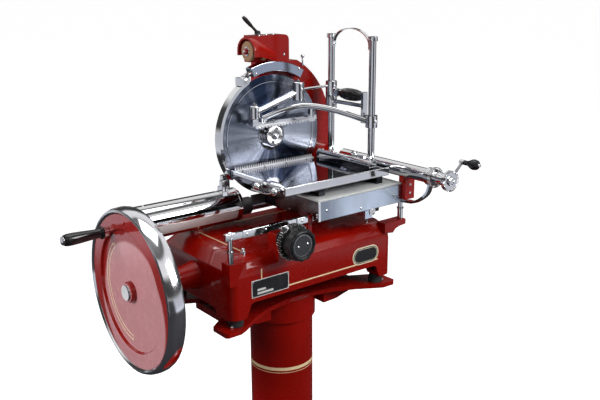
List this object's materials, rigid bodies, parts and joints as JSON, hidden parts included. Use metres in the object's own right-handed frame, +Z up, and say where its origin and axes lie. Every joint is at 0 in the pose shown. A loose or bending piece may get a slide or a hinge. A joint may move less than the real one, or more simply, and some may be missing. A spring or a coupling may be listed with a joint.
{
  "type": "hand-cranked flywheel meat slicer",
  "caption": "Hand-cranked meat slicer with a flywheel, round blade with guards, sliding carriage and tray, clamp posts, feed crank and sharpener on a round pedestal.",
  "frame": {"origin": "on the floor, on the axis of the pedestal column", "axes": "+Z up; +X along the machine from the flywheel to the feed crank; -Y towards the person who turns the flywheel; the blade lies in a plane across Y"},
  "size_m": [0.8799, 0.642, 1.4611],
  "materials": {
    "enamel": "glossy red enamel",
    "chrome": "polished",
    "blade_steel": "ground and polished",
    "steel": "machined",
    "cast_iron": "as cast and machined",
    "bronze": "turned",
    "black_plastic": "glossy black",
    "rubber": "matt",
    "stone": "bonded abrasive",
    "white_plate": "polished plate"
  },
  "bodies": {
    "frame": {"base_casting": "enamel", "blade_bearing": "bronze", "blade_stand": "enamel", "chain_cover": "enamel", "crank_bracket": "cast_iron", "cross_shaft_bracket": "cast_iron", "dial_housing": "black_plastic", "drive_chain": "steel", "front_rail": "chrome", "guide_tube": "chrome", "main_shaft_bearing": "enamel", "pedestal_column": "enamel", "pedestal_foot": "enamel", "pedestal_head": "enamel", "rear_guide_bar": "steel", "ring_guard": "chrome", "rubber_foot_front_left": "rubber", "rubber_foot_front_right": "rubber", "rubber_foot_rear_left": "rubber", "rubber_foot_rear_right": "rubber", "sharpener_housing": "enamel", "top_guard": "chrome"},
    "flywheel": {"flywheel_disc": "enamel", "flywheel_rim": "chrome", "handle_spindle": "steel", "main_shaft": "steel", "crank_pinion": "steel"},
    "flywheel_handle": {"handle_grip": "black_plastic"},
    "crank": {"crank_wheel": "cast_iron"},
    "rod": {"connecting_rod": "cast_iron"},
    "cross_drive": {"cross_shaft": "steel"},
    "blade_body": {"blade": "blade_steel", "blade_shaft": "chrome"},
    "carriage": {"carriage_frame": "chrome", "carriage_top_plate": "white_plate", "slide_sleeve": "cast_iron", "drive_pin": "steel", "feed_tube": "chrome", "feed_block": "enamel", "feed_end_bracket": "chrome"},
    "roller": {"rail_roller": "steel"},
    "screw": {"feed_screw": "steel", "feed_wheel": "chrome"},
    "crank_knob": {"feed_crank_knob": "black_plastic"},
    "tray_body": {"tray": "chrome", "toothed_strip": "chrome", "tray_fence": "chrome", "clamp_post_back": "chrome", "clamp_post_front": "chrome", "post_arch": "chrome", "feed_nut": "bronze"},
    "clamp": {"clamp_bridge": "chrome", "clamp_handle": "black_plastic", "clamp_link": "chrome", "clamp_slider": "chrome", "presser_arm": "chrome"},
    "dial": {"thickness_knob": "black_plastic"},
    "lever": {"sharpener_lever": "black_plastic"},
    "stone": {"grinding_wheel": "stone"},
    "hone": {"honing_wheel": "stone"}
  },
  "joints": [
    {"name": "flywheel_spin", "type": "hinge", "parent": "frame", "child": "flywheel", "pos_m": [-0.4385, 0, 0.857], "axis": [1, 0, 0], "continuous": true},
    {"name": "handle_spin", "type": "hinge", "parent": "flywheel", "child": "flywheel_handle", "pos_m": [-0.49, 0.08819, 0.98202], "axis": [1, 0, 0], "continuous": true},
    {"name": "crank_wheel_spin", "type": "hinge", "parent": "frame", "child": "crank", "pos_m": [-0.085, 0.022, 0.884], "axis": [0, 0, 1], "continuous": true},
    {"name": "cross_shaft_spin", "type": "hinge", "parent": "frame", "child": "cross_drive", "pos_m": [0.175, 0.05, 0.857], "axis": [0, 1, 0], "continuous": true},
    {"name": "blade_spin", "type": "hinge", "parent": "frame", "child": "blade_body", "pos_m": [0.035, 0.09, 1.155], "axis": [0, 1, 0], "continuous": true},
    {"name": "carriage_slide", "type": "slide", "parent": "frame", "child": "carriage", "axis": [1, 0, 0], "range_m": [-0.15, 0.06]},
    {"name": "rod_swing", "type": "hinge", "parent": "carriage", "child": "rod", "pos_m": [0.14, 0.022, 0.904], "axis": [0, 0, 1], "range_deg": [-62, 8]},
    {"name": "roller_spin", "type": "hinge", "parent": "carriage", "child": "roller", "pos_m": [0.205, -0.152, 1.0108], "axis": [0, 1, 0], "continuous": true},
    {"name": "tray_feed", "type": "slide", "parent": "carriage", "child": "tray_body", "axis": [0, 1, 0], "range_m": [-0.12, 0]},
    {"name": "feed_screw_spin", "type": "hinge", "parent": "carriage", "child": "screw", "pos_m": [0.268, -0.2, 1.072], "axis": [0, 1, 0], "range_deg": [0, 7200]},
    {"name": "crank_knob_spin", "type": "hinge", "parent": "screw", "child": "crank_knob", "pos_m": [0.31188, -0.36, 1.11292], "axis": [0, 1, 0], "continuous": true},
    {"name": "clamp_slide", "type": "slide", "parent": "tray_body", "child": "clamp", "axis": [0, 0, 1], "range_m": [-0.085, 0.085]},
    {"name": "thickness_turn", "type": "hinge", "parent": "frame", "child": "dial", "pos_m": [-0.106, -0.21, 0.958], "axis": [0, 1, 0], "range_deg": [-30, 270]},
    {"name": "sharpener_lever_turn", "type": "hinge", "parent": "frame", "child": "lever", "pos_m": [0.023, 0.116, 1.4173], "axis": [0, 1, 0], "range_deg": [-18, 95]},
    {"name": "grinding_wheel_spin", "type": "hinge", "parent": "frame", "child": "stone", "pos_m": [-0.025, 0.09, 1.3745], "axis": [1, 0, 0], "continuous": true},
    {"name": "honing_wheel_spin", "type": "hinge", "parent": "frame", "child": "hone", "pos_m": [0.0045, 0.078, 1.361], "axis": [0.8829, 0, 0.4695], "continuous": true}
  ],
  "couplings": [
    {"joint": "crank_wheel_spin", "follows": "flywheel_spin", "ratio": 0.24138},
    {"joint": "cross_shaft_spin", "follows": "flywheel_spin", "ratio": 1},
    {"joint": "blade_spin", "follows": "flywheel_spin", "ratio": 1.7},
    {"joint": "feed_screw_spin", "follows": "tray_feed", "rad_per_m": -1047.2}
  ]
}
